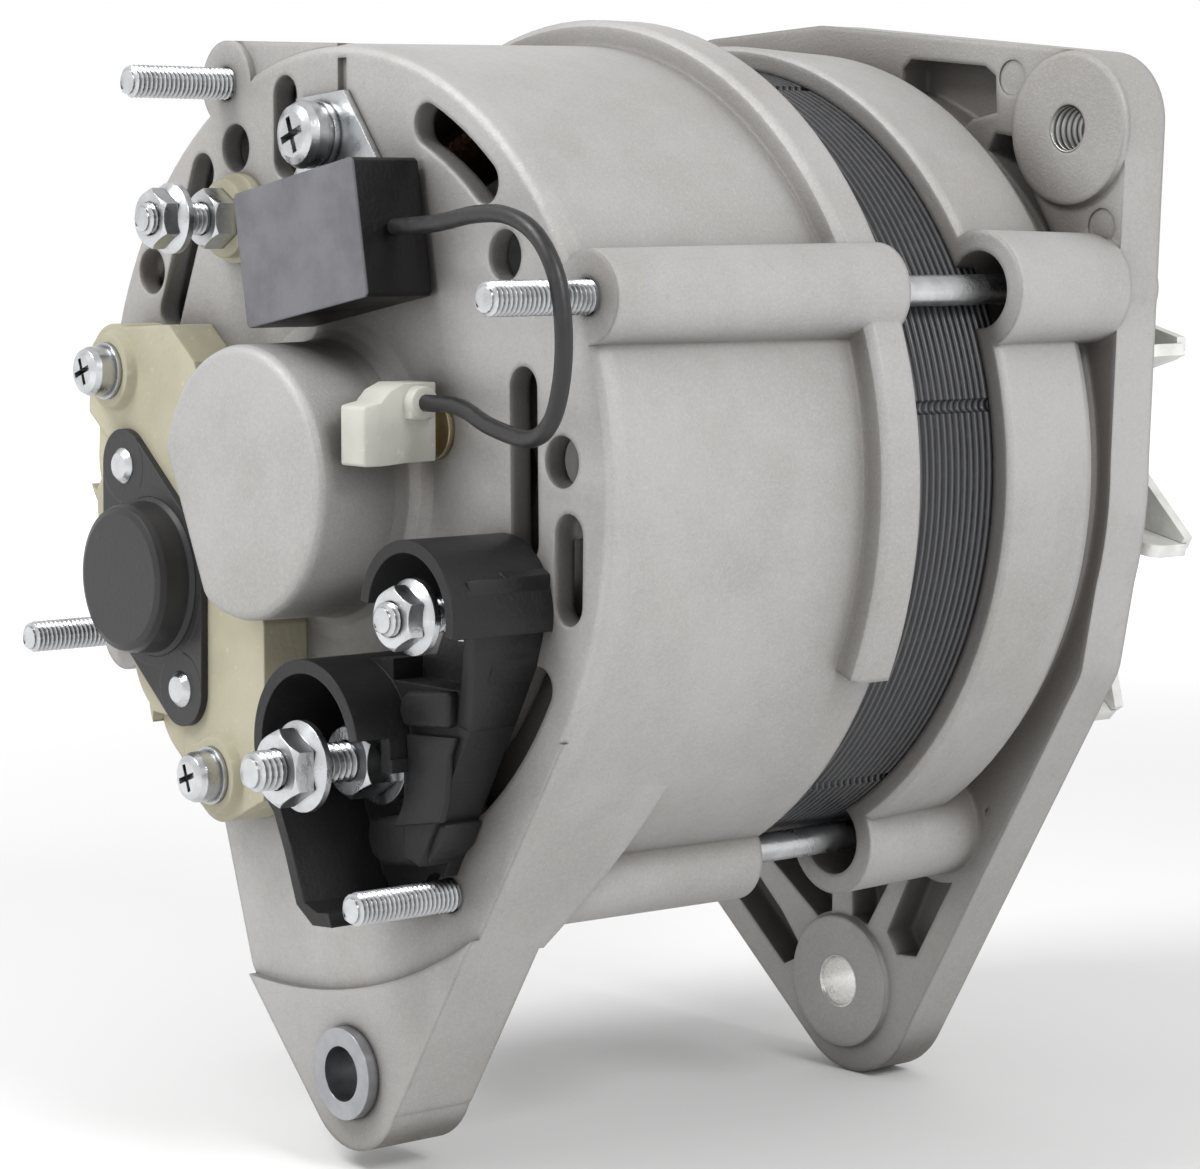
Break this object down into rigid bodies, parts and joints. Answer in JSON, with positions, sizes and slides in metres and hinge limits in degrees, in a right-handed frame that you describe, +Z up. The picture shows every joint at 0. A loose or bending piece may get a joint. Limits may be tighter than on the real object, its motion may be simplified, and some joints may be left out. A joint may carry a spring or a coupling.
{
  "type": "alternator",
  "caption": "Vehicle alternator with pivot lug and adjuster ear, turning rotor and outside fan, bare pulley shaft, brush regulator, capacitor and stud terminals.",
  "frame": {"origin": "on the shaft axis, where the pulley's hub seats against the fan", "axes": "+Y along the shaft towards the pulley end, +Z up with the pivot lug below, +X to the right as seen from the terminal end"},
  "size_m": [0.1376, 0.187, 0.175],
  "materials": {
    "cast_aluminium": "as cast, matte",
    "steel": "ground",
    "zinc_steel": "zinc plated",
    "laminated_steel": "varnished laminations",
    "copper": "enamelled",
    "tinned_brass": "satin",
    "black_plastic": "moulded",
    "black_metal": "satin black",
    "cream_plastic": "moulded",
    "white_plastic": "moulded",
    "brown_plastic": "moulded",
    "carbon": "pressed carbon"
  },
  "bodies": {
    "housing": {"rear_bracket": "cast_aluminium", "drive_end_bracket": "cast_aluminium", "pivot_bush": "steel", "stator_core": "laminated_steel", "stator_winding": "copper", "through_bolts": "zinc_steel", "rear_bearing_outer": "steel", "front_bearing_outer": "steel", "bearing_retainer": "steel", "retainer_screws": "zinc_steel", "positive_heat_sink": "cast_aluminium", "negative_heat_sink": "cast_aluminium", "rectifier_diodes": "steel", "sink_spacers": "black_plastic", "brush_holder": "cream_plastic", "regulator_plate": "black_metal", "regulator_cap": "black_metal", "regulator_rivets": "zinc_steel", "regulator_screws": "zinc_steel", "capacitor_body": "black_plastic", "capacitor_strap": "zinc_steel", "capacitor_screw": "zinc_steel", "capacitor_lead": "black_plastic", "connector_housing": "white_plastic", "spade_terminal": "tinned_brass", "terminal_block": "black_plastic", "main_stud": "zinc_steel", "main_nuts": "zinc_steel", "lamp_stud": "zinc_steel", "lamp_nuts": "zinc_steel", "phase_stud": "zinc_steel", "phase_nuts": "zinc_steel", "phase_insulator": "cream_plastic", "front_brush_spring": "zinc_steel", "rear_brush_spring": "zinc_steel"},
    "rotor": {"rotor_shaft": "steel", "front_claw_pole": "steel", "rear_claw_pole": "steel", "field_coil": "copper", "coil_bobbin": "cream_plastic", "slip_ring_sleeve": "brown_plastic", "slip_rings": "copper", "front_bearing_inner": "steel", "rear_bearing_inner": "steel", "bearing_spacer": "steel", "fan": "zinc_steel"},
    "front_balls": {"front_bearing_balls": "steel", "front_bearing_cage": "tinned_brass"},
    "rear_balls": {"rear_bearing_balls": "steel", "rear_bearing_cage": "tinned_brass"},
    "front_brush": {"front_brush": "carbon"},
    "rear_brush": {"rear_brush": "carbon"}
  },
  "joints": [
    {"name": "rotor_spin", "type": "hinge", "parent": "housing", "child": "rotor", "pos_m": [0, 0, 0], "axis": [0, 1, 0], "continuous": true},
    {"name": "front_balls_roll", "type": "hinge", "parent": "housing", "child": "front_balls", "pos_m": [0, 0, 0], "axis": [0, 1, 0], "continuous": true},
    {"name": "rear_balls_roll", "type": "hinge", "parent": "housing", "child": "rear_balls", "pos_m": [0, 0, 0], "axis": [0, 1, 0], "continuous": true},
    {"name": "front_brush_slide", "type": "slide", "parent": "housing", "child": "front_brush", "axis": [-0.9063, 0, -0.4226], "range_m": [0, 0.003], "stiffness_N_per_m": 300, "springref_m": -0.01, "deforming": ["front_brush_spring"]},
    {"name": "rear_brush_slide", "type": "slide", "parent": "housing", "child": "rear_brush", "axis": [-0.9063, 0, -0.4226], "range_m": [0, 0.003], "stiffness_N_per_m": 300, "springref_m": -0.01, "deforming": ["rear_brush_spring"]}
  ],
  "couplings": [
    {"joint": "front_balls_roll", "follows": "rotor_spin", "ratio": 0.364},
    {"joint": "rear_balls_roll", "follows": "rotor_spin", "ratio": 0.384}
  ]
}
